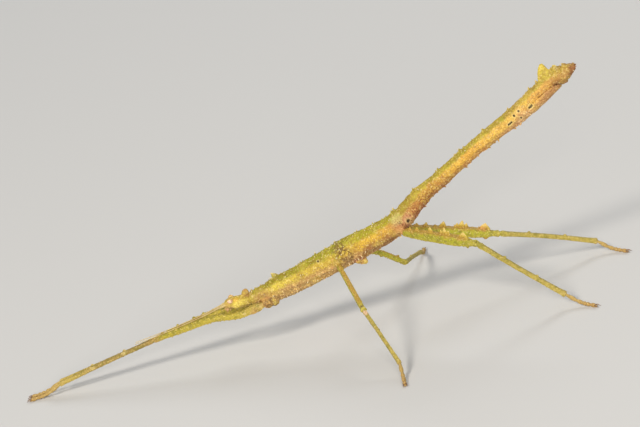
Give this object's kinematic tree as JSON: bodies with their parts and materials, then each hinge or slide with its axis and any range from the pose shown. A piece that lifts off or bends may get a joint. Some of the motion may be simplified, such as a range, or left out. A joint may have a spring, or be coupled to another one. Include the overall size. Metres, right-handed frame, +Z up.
{
  "type": "stick insect",
  "caption": "Life-size stick insect standing with its abdomen raised, spiny thorax, leaf-like crest, keel under the tail and front legs stretched forwards.",
  "frame": {"origin": "on the ground, below the middle of the box round the whole insect", "axes": "+Z up, -X ahead of the insect along its body, -Y its left side"},
  "size_m": [0.1074, 0.0544, 0.0379],
  "materials": {
    "head": "matt, finely granular yellow-green",
    "thorax": "matt, finely granular olive yellow",
    "abdomen": "matt, finely granular straw",
    "tail": "matt, orange tan",
    "leg": "matt, olive yellow with pale edges",
    "foot": "matt, straw tan",
    "feeler": "matt, pale straw",
    "eye": "smooth, moist, pale pinkish"
  },
  "bodies": {
    "root": {"head": "head", "eye_left": "eye", "eye_right": "eye", "antenna_left": "feeler", "antenna_right": "feeler", "prothorax": "thorax", "mesothorax": "thorax", "metathorax": "thorax", "abdomen_2": "abdomen", "abdomen_3": "abdomen", "abdomen_4": "abdomen", "abdomen_5": "abdomen", "abdomen_6": "abdomen", "abdomen_7": "abdomen", "abdomen_8": "abdomen", "abdomen_9": "abdomen", "abdomen_10": "abdomen", "operculum": "tail", "femur_fore_left": "leg", "femur_fore_right": "leg", "femur_mid_left": "leg", "femur_mid_right": "leg", "femur_hind_left": "leg", "femur_hind_right": "leg", "tibia_fore_left": "foot", "tibia_fore_right": "foot", "tibia_mid_left": "foot", "tibia_mid_right": "foot", "tibia_hind_left": "foot", "tibia_hind_right": "foot", "tarsus_fore_left": "foot", "tarsus_fore_right": "foot", "tarsus_mid_left": "foot", "tarsus_mid_right": "foot", "tarsus_hind_left": "foot", "tarsus_hind_right": "foot"}
  },
  "joints": []
}
